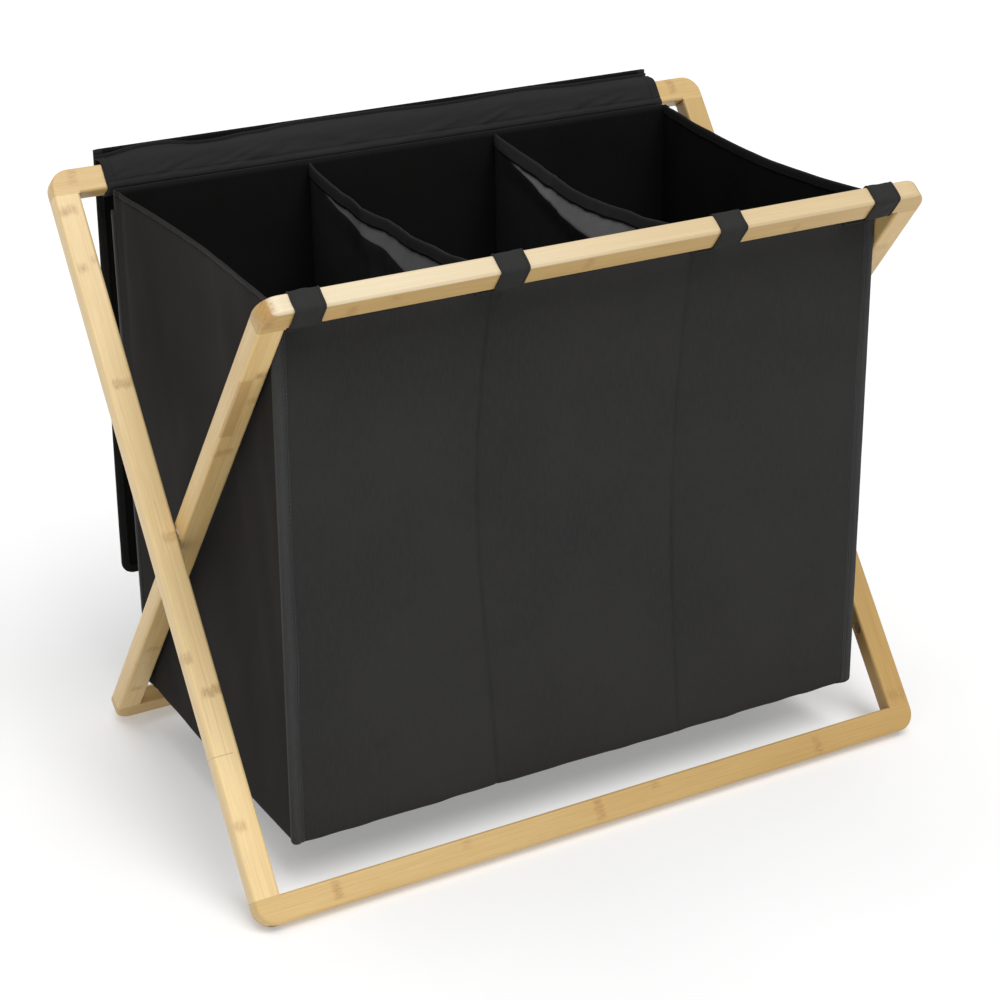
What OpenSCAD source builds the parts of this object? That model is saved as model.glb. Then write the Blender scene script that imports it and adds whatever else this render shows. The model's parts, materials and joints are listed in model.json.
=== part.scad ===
// Folding laundry sorter: two bamboo frames crossed on a common pivot carry a
// fabric bag with three compartments and a lid flap that hangs behind.
// Millimetres. +Z is up, +X runs along the rails, the front faces -Y.
// The origin is on the floor, under the pivot, in the middle of the width.

/* [Frames] */
// Width of the outer frame, over its side rails
outer_w = 720; // [640:1:800]
// Length of both frames along their slope
frame_l = 720; // [680:1:760]
// Width of a rail, in the plane of its frame
rail_w = 25.5; // [24:0.5:30]
// Thickness of a rail
rail_t = 19; // [17:0.5:22]
// Lean of each frame from the vertical when the sorter stands open
lean = 36.8; // [34:0.2:40]
// Radius of the rounded frame corners
corner_r = 19; // [14:0.5:22]
// Radius of the eased long edges
edge_r = 3; // [1.5:0.1:3.5]
// Depth of the narrow flat that is planed on the edge a bottom rail stands on
foot_flat = 0.3; // [0.1:0.05:0.6]

/* [Pivot] */
// Diameter of the pivot bolts
pivot_d = 6; // [5:0.5:7]
// Diameter of the recesses for the pivot bolt heads and their plugs
pivot_recess_d = 13.5; // [13:0.1:15]
// Side gap between the outer frame and the inner frame
side_gap = 1; // [0.8:0.1:2]
// Diameter of the spacer washers in the side gap
spacer_d = 18; // [15:0.5:22]

/* [Corner joints] */
// Height of the cross dowels above the lower end of the frame, along its slope
fitting_v = 111; // [90:1:130]
// Diameter of the cross dowels
fitting_d = 12; // [11:0.5:13]
// Diameter of the joint bolts
joint_bolt_d = 6; // [5:0.5:6]
// Diameter of the wooden dowels
dowel_d = 6; // [5:0.5:6]
// Length of the wooden dowels
dowel_l = 32; // [24:1:36]

/* [Bag] */
// Width of the bag, over its side panels
bag_w = 611; // [520:1:611]
// Height of the bag's rim above the floor
rim_z = 566; // [560:1:566]
// Height of the bag's underside above the floor
bag_z = 50; // [45:1:60]
// Distance of the front panel in front of the pivot
bag_front = 176; // [160:1:178]
// Distance of the back panel behind the pivot, at the rim
bag_back_top = 189; // [180:1:189]
// Distance of the back panel behind the pivot, at the bottom
bag_back_foot = 174; // [150:1:176]
// Thickness of the bag's fabric, with its lining
cloth_t = 1.5; // [1.2:0.1:1.8]
// Distance of each divider from the middle
divider_x = 103; // [90:1:115]
// Drop of the side panels' top edges in the middle
side_sag = 8; // [4:1:16]
// Drop of the dividers' top edges in the middle
divider_sag = 18; // [10:1:26]

/* [Sleeve, loops and lid] */
// Width of the sleeve on the back rail, and of the lid below it
sleeve_w = 615; // [560:1:616]
// Thickness of the fabric around the rails
wrap_t = 1.2; // [0.8:0.1:1.3]
// Width of each front loop
loop_w = 28; // [20:1:36]
// Length of the lid flap
lid_l = 445; // [380:1:446]
// Thickness of the lid flap
lid_t = 1.4; // [1:0.1:1.6]

/* [Hidden] */
$fn = 48;

// Frames
half_l = frame_l / 2;
inner_w = outer_w - 2 * rail_w - 2 * side_gap;
outer_side_in = outer_w / 2 - rail_w;
inner_side_out = inner_w / 2;
inner_side_in = inner_side_out - rail_w;
foot_cut = edge_r * (sin(lean) + cos(lean) - 1) + foot_flat;
pivot_z = half_l * cos(lean) + rail_t / 2 * sin(lean) - foot_cut;

// Pivot, measured along X from the outer face of the outer frame
bore_slack = 0.06;
plug_t = 3.2;
pivot_recess = 7.5;
head_t = 3.7;
head_slack = 0.2;
nut_recess = 6;
nut_t = 5;
nut_flats = 10;
key_flats = 4;
key_depth = 2.2;

// Knock-down joints at the lower corners, measured along the side rail
bolt_in = 3.5;
dowel_out = 7;
dowel_pair = 6.5;
bolt_recess_d = joint_bolt_d + 6.5;
bolt_recess = 8;
bolt_head_d = joint_bolt_d + 4;
bolt_head_t = 6;
bolt_past = 6;
fitting_l = 13.5;
fitting_recess = 2.5;

// Fabric around the rails
wrap_gap = 0.2;
wrap_out = wrap_gap + wrap_t;
loop_xs = [-292, -103.5, 117, 285];
loop_tail = 13.8;
tail_in = 1;

// Lid hinge line, at the top edge of the seam strip behind the back rail
strip_t = 1.2;
strip_y = 225;
strip_foot = 571;
strip_top = 596;
lid_top = 595;
lid_gap = 0.6;
lid_corner_r = 14;
bind_w = 9;
bind_t = 0.5;

// Bag bindings
seam_gap = 0.05;
corner_bind_w = 6.5;
corner_bind_t = 2.2;
rim_bind_h = 8;
rim_bind_t = 0.8;
bind_slack = 0.1;
bind_lift = 0.4;

bamboo = "#d9bd84";
black_cloth = "#323031";
grey_cloth = "#3f3c3c";
black_tape = "#1f1d1e";
steel = "#a9abad";

// ---- Placing ----

// The plane of the outer frame: X across, Y up its slope, Z out of its upper face.
module on_outer() {
    translate([0, 0, pivot_z]) rotate([90 - lean, 0, 0]) children();
}

// The inner frame leans the other way.
module on_inner() {
    mirror([0, 1, 0]) on_outer() children();
}

// Repeats its children on both sides of the middle.
module both_sides() {
    children();
    mirror([1, 0, 0]) children();
}

// A bar from x0 to x1 whose section lies in Y and Z.
module along_x(x0, x1) {
    translate([x0, 0, 0]) rotate([90, 0, 90]) linear_extrude(x1 - x0) children();
}

// A bar from y0 to y1 whose section lies in X and Z.
module along_y(y0, y1) {
    translate([0, y1, 0]) rotate([90, 0, 0]) linear_extrude(y1 - y0) children();
}

// A round bar or bore along X.
module pin_x(x0, x1, d) {
    translate([x0, 0, 0]) rotate([0, 90, 0]) cylinder(h = x1 - x0, d = d);
}

// A round bar or bore along Y.
module pin_y(y0, y1, d) {
    translate([0, y1, 0]) rotate([90, 0, 0]) cylinder(h = y1 - y0, d = d);
}

// A hexagon along X, measured over its flats.
module hex_x(x0, x1, flats) {
    translate([x0, 0, 0]) rotate([0, 90, 0]) cylinder(h = x1 - x0, d = flats / cos(30), $fn = 6);
}

// ---- Rails ----

// A rectangle from the origin to [w, t] with all four corners rounded.
module eased_section(w, t, r) {
    translate([r, 0]) square([w - 2 * r, t]);
    translate([0, r]) square([w, t - 2 * r]);
    for (x = [r, w - r], y = [r, t - r]) translate([x, y]) circle(r);
}

// The same rectangle, rounded only at the far side, where the frame's outline runs.
module outline_section(w) {
    square([w - edge_r, rail_t]);
    translate([0, edge_r]) square([w, rail_t - 2 * edge_r]);
    for (y = [edge_r, rail_t - edge_r]) translate([w - edge_r, y]) circle(edge_r);
}

// The half of a rail's end that carries the rounded corner, in the frame's plane.
module rail_end(frame_w) {
    cx = frame_w / 2 - corner_r;
    cy = half_l - corner_r;
    inner = frame_w / 2 - rail_w;
    translate([0, half_l - rail_w, -rail_t / 2]) along_x(inner, cx) outline_section(rail_w);
    translate([cx, 0, -rail_t / 2]) along_y(half_l - rail_w, cy) outline_section(corner_r);
    translate([cx, cy, -rail_t / 2]) rotate_extrude(angle = 90) outline_section(corner_r);
}

// A cross rail at the upper end of a frame; it runs over the ends of the side rails.
module cross_rail(frame_w) {
    inner = frame_w / 2 - rail_w;
    translate([0, half_l - rail_w, -rail_t / 2])
        along_x(-inner, inner) eased_section(rail_w, rail_t, edge_r);
    both_sides() rail_end(frame_w);
}

// A right side rail between the cross rails.
module side_bar(frame_w) {
    translate([frame_w / 2 - rail_w, 0, -rail_t / 2])
        along_y(rail_w - half_l, half_l - rail_w) eased_section(rail_w, rail_t, edge_r);
}

// Across the frame: where the lower corner's bolt and dowel stand, on the right.
function side_mid(frame_w) = (frame_w - rail_w) / 2;
function bolt_x(frame_w) = side_mid(frame_w) - bolt_in;

// Bores in the right side rail for both corner joints, and for the cross dowel.
module joint_bores(frame_w) {
    foot = rail_w - half_l;
    top = half_l - rail_w;
    translate([bolt_x(frame_w), 0, 0])
        pin_y(-half_l - 1, fitting_v + bolt_past + 2 - half_l, joint_bolt_d + 0.2);
    translate([bolt_x(frame_w), 0, 0])
        pin_y(-half_l - 1, bolt_recess - half_l, bolt_recess_d);
    translate([0, fitting_v - half_l, 0])
        pin_x(frame_w / 2 - rail_w - 1, bolt_x(frame_w) + fitting_l / 2, fitting_d + 0.1);
    translate([side_mid(frame_w) + dowel_out, foot, 0])
        pin_y(-dowel_l / 2, dowel_l / 2, dowel_d + 0.1);
    for (x = [-dowel_pair, dowel_pair])
        translate([side_mid(frame_w) + x, top, 0])
            pin_y(-dowel_l / 2, dowel_l / 2, dowel_d + 0.1);
}

// Right side rails with the bores of their pivot.
module outer_side_rail() {
    color(bamboo) difference() {
        side_bar(outer_w);
        joint_bores(outer_w);
        pin_x(outer_side_in - 1, outer_w / 2, pivot_d + 2 * bore_slack);
        pin_x(outer_w / 2 - pivot_recess, outer_w / 2 + 1, pivot_recess_d);
    }
}

module inner_side_rail() {
    color(bamboo) difference() {
        side_bar(inner_w);
        joint_bores(inner_w);
        pin_x(inner_side_in, inner_side_out + 1, pivot_d + 2 * bore_slack);
        pin_x(inner_side_in - 1, inner_side_in + nut_recess, pivot_recess_d);
    }
}

module top_rail(frame_w) {
    color(bamboo) difference() {
        cross_rail(frame_w);
        both_sides() joint_bores(frame_w);
    }
}

// The lower cross rail, in its frame's plane, before it is cut flat at the floor.
module bottom_rail(frame_w) {
    difference() {
        rotate([0, 0, 180]) cross_rail(frame_w);
        both_sides() joint_bores(frame_w);
    }
}

// Everything below the floor, which flattens the edge that a frame stands on.
module floor_cut() {
    translate([-outer_w, -outer_w, -50]) cube([2 * outer_w, 2 * outer_w, 50]);
}

module outer_left_rail() { on_outer() mirror([1, 0, 0]) outer_side_rail(); }
module outer_right_rail() { on_outer() outer_side_rail(); }
module outer_top_rail() { on_outer() top_rail(outer_w); }
module outer_bottom_rail() {
    color(bamboo) difference() {
        on_outer() bottom_rail(outer_w);
        floor_cut();
    }
}

module inner_left_rail() { on_inner() mirror([1, 0, 0]) inner_side_rail(); }
module inner_right_rail() { on_inner() inner_side_rail(); }
module inner_top_rail() { on_inner() top_rail(inner_w); }
module inner_bottom_rail() {
    color(bamboo) difference() {
        on_inner() bottom_rail(inner_w);
        floor_cut();
    }
}

// ---- Fittings of the frames ----

// The lower corner's bolt: a head in the cross rail, a shank through the cross dowel.
module joint_bolt(frame_w) {
    head_y = bolt_recess - half_l;
    color(steel) translate([bolt_x(frame_w), 0, 0]) {
        pin_y(head_y - 0.1, fitting_v + bolt_past - half_l, joint_bolt_d);
        difference() {
            pin_y(head_y - bolt_head_t, head_y, bolt_head_d);
            rotate([0, 0, 90]) hex_x(head_y - bolt_head_t - 1, head_y - 3, 5);
        }
    }
}

// The cross dowel that the bolt pulls on, set below the side rail's inner face.
module cross_dowel(frame_w) {
    color(steel) translate([0, fitting_v - half_l, 0]) difference() {
        pin_x(frame_w / 2 - rail_w + fitting_recess, bolt_x(frame_w) + fitting_l / 2, fitting_d);
        translate([bolt_x(frame_w), 0, 0]) pin_y(-fitting_d, fitting_d, joint_bolt_d + 0.1);
        pin_x(frame_w / 2 - rail_w, frame_w / 2 - rail_w + fitting_recess + 1, 3);
    }
}

// Wooden dowels: one in the lower corner beside the bolt, two in the glued upper corner.
module corner_dowels(frame_w) {
    color(bamboo) {
        translate([side_mid(frame_w) + dowel_out, rail_w - half_l, 0])
            pin_y(-dowel_l / 2, dowel_l / 2, dowel_d);
        for (x = [-dowel_pair, dowel_pair])
            translate([side_mid(frame_w) + x, half_l - rail_w, 0])
                pin_y(-dowel_l / 2, dowel_l / 2, dowel_d);
    }
}

module outer_joint_bolts() { on_outer() both_sides() joint_bolt(outer_w); }
module outer_cross_dowels() { on_outer() both_sides() cross_dowel(outer_w); }
module outer_wood_dowels() { on_outer() both_sides() corner_dowels(outer_w); }
module inner_joint_bolts() { on_inner() both_sides() joint_bolt(inner_w); }
module inner_cross_dowels() { on_inner() both_sides() cross_dowel(inner_w); }
module inner_wood_dowels() { on_inner() both_sides() corner_dowels(inner_w); }

// Bamboo plugs that hide the heads of the pivot bolts.
module pivot_plugs() {
    color(bamboo) on_outer() both_sides()
        pin_x(outer_w / 2 - plug_t, outer_w / 2, pivot_recess_d - 0.1);
}

// ---- Pivot ----

module pivot_bolts() {
    seat = outer_w / 2 - pivot_recess + head_slack;
    color(steel) translate([0, 0, pivot_z]) both_sides() {
        pin_x(inner_side_in + 0.6, seat + 0.1, pivot_d);
        difference() {
            pin_x(seat, seat + head_t, pivot_recess_d - 2);
            hex_x(seat + head_t - key_depth, seat + head_t + 1, key_flats);
        }
    }
}

module pivot_nuts() {
    nut_x = inner_side_in + nut_recess - nut_t - 0.3;
    color(steel) translate([0, 0, pivot_z]) both_sides() difference() {
        hex_x(nut_x, nut_x + nut_t, nut_flats);
        pin_x(nut_x - 1, nut_x + nut_t + 1, pivot_d + 0.1);
    }
}

module spacer_washers() {
    color(steel) translate([0, 0, pivot_z]) both_sides() difference() {
        pin_x(inner_side_out + 0.05, outer_side_in - 0.05, spacer_d);
        pin_x(inner_side_out - 1, outer_side_in + 1, pivot_d + 0.1);
    }
}

// ---- Fabric around the rails ----

// A sleeve around a frame's top rail, from x0 to x1.
module wrap(x0, x1) {
    translate([0, half_l - rail_w, -rail_t / 2]) difference() {
        translate([0, -wrap_out, -wrap_out]) along_x(x0, x1)
            eased_section(rail_w + 2 * wrap_out, rail_t + 2 * wrap_out, edge_r + wrap_out);
        translate([0, -wrap_gap, -wrap_gap]) along_x(x0 - 1, x1 + 1)
            eased_section(rail_w + 2 * wrap_gap, rail_t + 2 * wrap_gap, edge_r + wrap_gap);
    }
}

module back_sleeve() {
    color(black_cloth) on_outer() wrap(-sleeve_w / 2, sleeve_w / 2);
}

// A loop around the front rail, and the level tail that reaches back to the bag's rim.
module front_loop() {
    on_inner() {
        wrap(-loop_w / 2, loop_w / 2);
        translate([0, half_l - rail_w - wrap_out, rail_t / 2 - tail_in])
            along_x(-loop_w / 2, loop_w / 2) rotate(lean) square([wrap_t, loop_tail]);
    }
}

module front_loops() {
    color(black_cloth) for (x = loop_xs) translate([x, 0, 0]) front_loop();
}

// ---- Bag ----

half_bag = bag_w / 2;
floor_z = bag_z + cloth_t;
back_slope = (bag_back_top - bag_back_foot) / (rim_z - bag_z);

// Outer face of the back panel at a height.
function back_y(z) = bag_back_foot + (z - bag_z) * back_slope;

// A sheet across the bag whose outline lies in Y and Z, with its middle at x.
module upright_sheet(x, t) {
    along_x(x - t / 2, x + t / 2) children();
}

// Outline between the front and back panels, from z0 up to a rim that sags.
module bag_outline(z0, rim, sag, slack) {
    y0 = cloth_t - bag_front + slack;
    y1 = back_y(z0) - cloth_t - seam_gap - slack;
    y2 = back_y(rim) - cloth_t - seam_gap - slack;
    span = y2 - y0;
    polygon([
        [y0, z0], [y1, z0], [y2, rim],
        for (i = [7 : -1 : 1]) [y0 + span * i / 8, rim - sag * sin(22.5 * i)],
        [y0, rim],
    ]);
}

// A tape folded over the top edge of an upright sheet.
module edge_tape(x, rim, sag) {
    tape = cloth_t + 2 * rim_bind_t + 2 * bind_slack;
    difference() {
        intersection() {
            upright_sheet(x, tape) bag_outline(floor_z, rim + rim_bind_t + bind_lift, sag, 0.3);
            translate([0, 0, rim_bind_t]) upright_sheet(x, tape) tape_band(rim, sag);
        }
        upright_sheet(x, cloth_t + 2 * bind_slack) translate([0, bind_lift])
            bag_outline(floor_z, rim, sag, -1);
    }
}

// The band under a sagging edge that a tape covers.
module tape_band(rim, sag) {
    difference() {
        translate([-bag_front, rim - sag - rim_bind_h]) square([2 * bag_front + 40, sag + rim_bind_h]);
        translate([0, -rim_bind_h]) bag_outline(bag_z, rim, sag, -20);
    }
}

module bag_front_panel() {
    color(black_cloth) translate([-half_bag, -bag_front, bag_z])
        cube([bag_w, cloth_t, rim_z - bag_z]);
}

module bag_back_panel() {
    color(grey_cloth) along_x(-half_bag, half_bag) polygon([
        [back_y(bag_z) - cloth_t, bag_z], [back_y(bag_z), bag_z],
        [back_y(rim_z), rim_z], [back_y(rim_z) - cloth_t, rim_z],
    ]);
}

module side_panel(x) {
    color(black_cloth) upright_sheet(x, cloth_t) bag_outline(floor_z, rim_z - 1, side_sag, 0);
}

module bag_left_panel() { side_panel(cloth_t / 2 - half_bag); }
module bag_right_panel() { side_panel(half_bag - cloth_t / 2); }

module bag_bottom_panel() {
    color(black_cloth) translate([-half_bag, cloth_t - bag_front, bag_z])
        cube([bag_w, bag_front + bag_back_foot - 2 * cloth_t, cloth_t]);
}

// Heights of the dividers' lower and upper edges.
divider_foot = floor_z + 0.5;
divider_rim = rim_z - 4;

module divider(x) {
    color(grey_cloth) upright_sheet(x, cloth_t) bag_outline(divider_foot, divider_rim, divider_sag, 0);
}

module left_divider() { divider(-divider_x); }
module right_divider() { divider(divider_x); }

module divider_bindings() {
    color(black_tape) for (x = [-divider_x, divider_x]) edge_tape(x, divider_rim, divider_sag);
}

module side_rim_bindings() {
    color(black_tape) both_sides() edge_tape(half_bag - cloth_t / 2, rim_z - 1, side_sag);
}

// Bound seams that stand proud of the bag's upright edges.
module front_corner_bindings() {
    color(black_tape) both_sides()
        translate([half_bag - corner_bind_w + 1, -bag_front - corner_bind_t, bag_z])
            cube([corner_bind_w, corner_bind_t, rim_z - bag_z]);
}

module back_corner_bindings() {
    color(black_tape) both_sides() along_x(half_bag - corner_bind_w + 1, half_bag + 1) polygon([
        [back_y(bag_z), bag_z], [back_y(bag_z) + corner_bind_t, bag_z],
        [back_y(rim_z - 20) + corner_bind_t, rim_z - 20], [back_y(rim_z - 20), rim_z - 20],
    ]);
}

// ---- Lid ----

module lid_seam_strip() {
    color(black_tape) translate([-sleeve_w / 2, strip_y, strip_foot])
        cube([sleeve_w, strip_t, strip_top - strip_foot]);
}

// The hanging flap's outline in X and Z, down from its top edge, less a margin all round.
module lid_outline(margin) {
    w = sleeve_w / 2 - margin;
    r = lid_corner_r - margin;
    translate([-w, -lid_l + margin + r]) square([2 * w, lid_l - margin - r]);
    translate([-w + r, -lid_l + margin]) square([2 * (w - r), r + 1]);
    for (x = [-w + r, w - r]) translate([x, -lid_l + margin + r]) circle(r);
}

// A sheet behind the lid's hinge line, between two distances from the seam strip.
module lid_sheet(y0, y1) {
    translate([0, strip_y + strip_t, lid_top]) along_y(lid_gap + y0, lid_gap + y1) children();
}

module lid_panel() {
    color(black_cloth) lid_sheet(0, lid_t) lid_outline(bind_w);
}

// Tape sewn along the lid's sides and lower edge.
module lid_binding() {
    color(black_tape) lid_sheet(-bind_t / 2, lid_t + bind_t / 2) difference() {
        lid_outline(0);
        lid_outline(bind_w);
        translate([bind_w - sleeve_w / 2, -bind_w]) square([sleeve_w - 2 * bind_w, bind_w + 1]);
    }
}

pivot_bolts();
pivot_nuts();
spacer_washers();
outer_left_rail();
outer_right_rail();
outer_top_rail();
outer_bottom_rail();
outer_joint_bolts();
outer_cross_dowels();
outer_wood_dowels();
pivot_plugs();
back_sleeve();
inner_left_rail();
inner_right_rail();
inner_top_rail();
inner_bottom_rail();
inner_joint_bolts();
inner_cross_dowels();
inner_wood_dowels();
front_loops();
bag_front_panel();
bag_back_panel();
bag_left_panel();
bag_right_panel();
bag_bottom_panel();
left_divider();
right_divider();
divider_bindings();
side_rim_bindings();
front_corner_bindings();
back_corner_bindings();
lid_seam_strip();
lid_panel();
lid_binding();
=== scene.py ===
"""Looks of the folding laundry sorter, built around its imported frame.

Metres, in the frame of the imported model: +Z up, +X along the rails, the front faces -Y.
The outer frame leans back, so its top rail is behind, and the inner frame's is in front.
"""
import json
import math

import bmesh
import bpy
import numpy as np
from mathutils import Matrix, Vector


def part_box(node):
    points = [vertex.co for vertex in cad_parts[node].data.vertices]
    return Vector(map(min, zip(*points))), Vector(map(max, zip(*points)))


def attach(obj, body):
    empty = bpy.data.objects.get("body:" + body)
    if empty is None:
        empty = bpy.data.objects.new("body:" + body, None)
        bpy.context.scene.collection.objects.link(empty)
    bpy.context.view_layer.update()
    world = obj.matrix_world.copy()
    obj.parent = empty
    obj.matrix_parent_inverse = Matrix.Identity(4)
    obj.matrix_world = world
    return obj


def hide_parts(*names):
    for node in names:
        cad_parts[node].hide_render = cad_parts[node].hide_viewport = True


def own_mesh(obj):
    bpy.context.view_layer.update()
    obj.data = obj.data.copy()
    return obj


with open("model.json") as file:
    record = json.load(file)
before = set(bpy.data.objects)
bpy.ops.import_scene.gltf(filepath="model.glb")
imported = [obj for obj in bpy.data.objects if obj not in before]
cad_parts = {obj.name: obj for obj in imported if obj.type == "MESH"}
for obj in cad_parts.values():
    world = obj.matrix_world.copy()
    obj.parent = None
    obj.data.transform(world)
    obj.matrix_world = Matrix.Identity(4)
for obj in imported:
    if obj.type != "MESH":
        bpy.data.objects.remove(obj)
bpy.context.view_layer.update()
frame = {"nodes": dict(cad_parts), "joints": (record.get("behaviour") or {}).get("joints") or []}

# ---- Sizes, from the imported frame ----

MM = 0.001
FOLD = next(j for j in frame["joints"] if j["name"] == "fold")
PIVOT_Z = FOLD["pos_m"][2]
LEAN = math.radians(36.8)
SIN, COS = math.sin(LEAN), math.cos(LEAN)
HALF_L = 0.36
RAIL_W, RAIL_HALF_T = 25.5 * MM, 9.5 * MM

FRONT_LO, FRONT_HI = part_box("bag_front_panel")
BAG_X = FRONT_HI.x
BAG_Z, RIM_Z = FRONT_LO.z, FRONT_HI.z
BAG_H = RIM_Z - BAG_Z
FRONT_Y = FRONT_LO.y
BACK_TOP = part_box("bag_back_panel")[1].y
BACK_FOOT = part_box("bag_bottom_panel")[1].y + 1.5 * MM
DIVIDER_X = 0.103
DIVIDER_RIM = RIM_Z - 4 * MM
CORNER_R, ROLL_R = 5 * MM, 8 * MM
RIM_HEM = 20 * MM
CLOTH = 1.3 * MM
SIDES = ((-1, "left"), (1, "right"))


def back_y(z):
    """The back panel's outer face at a height."""
    return BACK_FOOT + (z - BAG_Z) * (BACK_TOP - BACK_FOOT) / BAG_H


def on_frame(side, x, v, n):
    """Points of a frame's plane: v up the slope from the frame's foot, n out of its upper face.
    side is 1 for the outer frame and -1 for the inner one."""
    along = v - HALF_L
    return np.stack(np.broadcast_arrays(
        x, side * (along * SIN - n * COS), PIVOT_Z + along * COS + n * SIN), -1)


# ---- Numbers that vary smoothly ----

def fade(t):
    """0 to 1 with no step in slope or curvature."""
    t = np.clip(t, 0, 1)
    return t * t * t * (t * (6 * t - 15) + 10)


def ripple(u, v, seed):
    """Smooth noise from -1 to 1, about one bump for each unit of u and v."""
    lattice = np.random.default_rng(seed).uniform(-1, 1, (64, 64))
    u, v = np.broadcast_arrays(np.asarray(u, float), np.asarray(v, float))
    iu, iv = np.floor(u).astype(int), np.floor(v).astype(int)
    fu, fv = fade(u - iu), fade(v - iv)

    def corner(a, b):
        return lattice[(iu + a) % 64, (iv + b) % 64]

    return blend(fv, blend(fu, corner(0, 0), corner(1, 0)), blend(fu, corner(0, 1), corner(1, 1)))


def crumple(u, v, seed, octaves=3):
    """Ripples of several sizes, each half as long and half as high as the last."""
    return sum(ripple(u * 2 ** k, v * 2 ** k, seed + k) / 2 ** k for k in range(octaves))


def blend(share, first, second):
    return first * (1 - share) + second * share


def bell(distance, width):
    return np.exp(-(distance / width) ** 2)


def arch(t):
    """0 at 0 and below, 1 in the middle, 0 again at 1 and above."""
    return np.maximum(np.sin(math.pi * np.clip(t, 0, 1)), 0)


def through(x, outline):
    """A smooth line through a few chosen points."""
    xs, ys = np.array(outline).T
    i = np.clip(np.searchsorted(xs, x) - 1, 0, len(xs) - 2)
    return ys[i] + (ys[i + 1] - ys[i]) * fade((x - xs[i]) / (xs[i + 1] - xs[i]))


def spaced(low, high, step, dense_at=(), reach=0.01, dense_step=0.0014):
    """Positions from low to high, closer together around some of them."""
    found = [*np.linspace(low, high, max(2, round((high - low) / step) + 1))]
    for middle in dense_at:
        found = [p for p in found if abs(p - middle) > reach or p in (low, high)]
        found += [*(middle + np.arange(-reach, reach + 1e-6, dense_step))]
    return np.array(sorted(p for p in set(found) if low <= p <= high))


# ---- Mesh helpers ----

def new_piece(name, points, faces, *materials):
    mesh = bpy.data.meshes.new(name)
    mesh.from_pydata(np.asarray(points).reshape(-1, 3).tolist(), [], faces)
    for material in materials:
        mesh.materials.append(material)
    mesh.update()
    mesh.shade_smooth()
    obj = bpy.data.objects.new(name, mesh)
    bpy.context.scene.collection.objects.link(obj)
    return obj


def grid_faces(rows, columns, closed=False):
    """Quads over rows of points; closed joins each row's last point to its first."""
    faces = []
    for i in range(rows - 1):
        for j in range(columns if closed else columns - 1):
            k = (j + 1) % columns
            faces.append((i * columns + j, i * columns + k, (i + 1) * columns + k, (i + 1) * columns + j))
    return faces


def cloth_grid(name, points, *materials):
    """A sheet over a grid of points, rows first."""
    return new_piece(name, points, grid_faces(*points.shape[:2]), *materials)


def tube(name, rings, *materials):
    """Rings of points joined one to the next, with both ends closed."""
    count, around = rings.shape[:2]
    faces = grid_faces(count, around, closed=True)
    faces.append(tuple(reversed(range(around))))
    faces.append(tuple(range((count - 1) * around, count * around)))
    return new_piece(name, rings, faces, *materials)


def thicken(obj, thickness, offset=0.0, inner=0):
    """Gives a sheet its thickness. inner is the step to the material of its inner layer."""
    solid = obj.modifiers.new("thickness", "SOLIDIFY")
    solid.thickness = thickness
    solid.offset = offset
    solid.material_offset = inner
    solid.use_even_offset = False
    made = bpy.data.meshes.new_from_object(obj.evaluated_get(bpy.context.evaluated_depsgraph_get()))
    obj.modifiers.clear()
    obj.data = made
    made.shade_smooth()
    return obj


def turned_outward(obj):
    """Makes every face of a closed piece point out."""
    work = bmesh.new()
    work.from_mesh(obj.data)
    bmesh.ops.recalc_face_normals(work, faces=work.faces)
    work.to_mesh(obj.data)
    work.free()
    return obj


def unit(vectors):
    return vectors / np.maximum(np.linalg.norm(vectors, axis=-1, keepdims=True), 1e-9)


def reach_along(path):
    """How far along a path each of its points lies."""
    return np.concatenate([[0], np.cumsum(np.linalg.norm(np.diff(path, axis=0), axis=1))])


def at_reach(at, reach, path):
    """The path's values at one or more distances along it."""
    return np.stack([np.interp(at, reach, path[:, k]) for k in range(path.shape[1])], -1)


def stitches(name, rows):
    """One piece for several rows of stitches that lie on cloth. Each row is given as its path and the
    direction away from the cloth, the same all along or one for each point."""
    pitch, length, thick = 4.2 * MM, 2.9 * MM, 0.32 * MM
    rings, faces = [], []
    for path, out in rows:
        path = np.asarray(path, float)
        out = np.broadcast_to(np.asarray(out, float), path.shape)
        reach = reach_along(path)
        for start in np.arange(pitch / 2, reach[-1] - length, pitch):
            base = len(rings) * 4
            for share, swell in ((0, 0.35), (0.2, 1), (0.8, 1), (1, 0.35)):
                at = start + share * length
                p, q = at_reach(at, reach, path), at_reach(at + 1e-4, reach, path)
                o = unit(at_reach(at, reach, out))
                rise = o * thick * swell
                side = unit(np.cross(o, q - p)) * thick * 1.1 * swell
                rings.append(np.array([p - side, p + rise, p + side, p - rise * 0.6]))
            for a in range(base, base + 12, 4):
                faces += [(a + j, a + (j + 1) % 4, a + 4 + (j + 1) % 4, a + 4 + j) for j in range(4)]
            faces += [(base + 3, base + 2, base + 1, base), (base + 12, base + 13, base + 14, base + 15)]
    return turned_outward(new_piece(name, np.concatenate(rings), faces, THREAD))


def rounded_path(corners, radii, step=1.6 * MM, closed=True):
    """A path through corners in a plane, each rounded off, as points about a step apart."""
    corners = [np.array(c, float) for c in corners]
    count = len(corners)
    path = []
    for i, (corner, radius) in enumerate(zip(corners, radii)):
        if not closed and i in (0, count - 1):
            path.append(corner)
            continue
        before, after = corners[i - 1] - corner, corners[(i + 1) % count] - corner
        start = corner + before / np.linalg.norm(before) * radius
        end = corner + after / np.linalg.norm(after) * radius
        path += [start * (1 - t) ** 2 + 2 * corner * t * (1 - t) + end * t * t for t in np.linspace(0, 1, 6)]
    dense = []
    for a, b in zip(path, path[1:] + path[:closed]):
        parts = max(1, round(np.linalg.norm(b - a) / step))
        dense += [a + (b - a) * t for t in np.linspace(0, 1, parts, endpoint=False)]
    return np.array(dense if closed else dense + [path[-1]])


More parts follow.
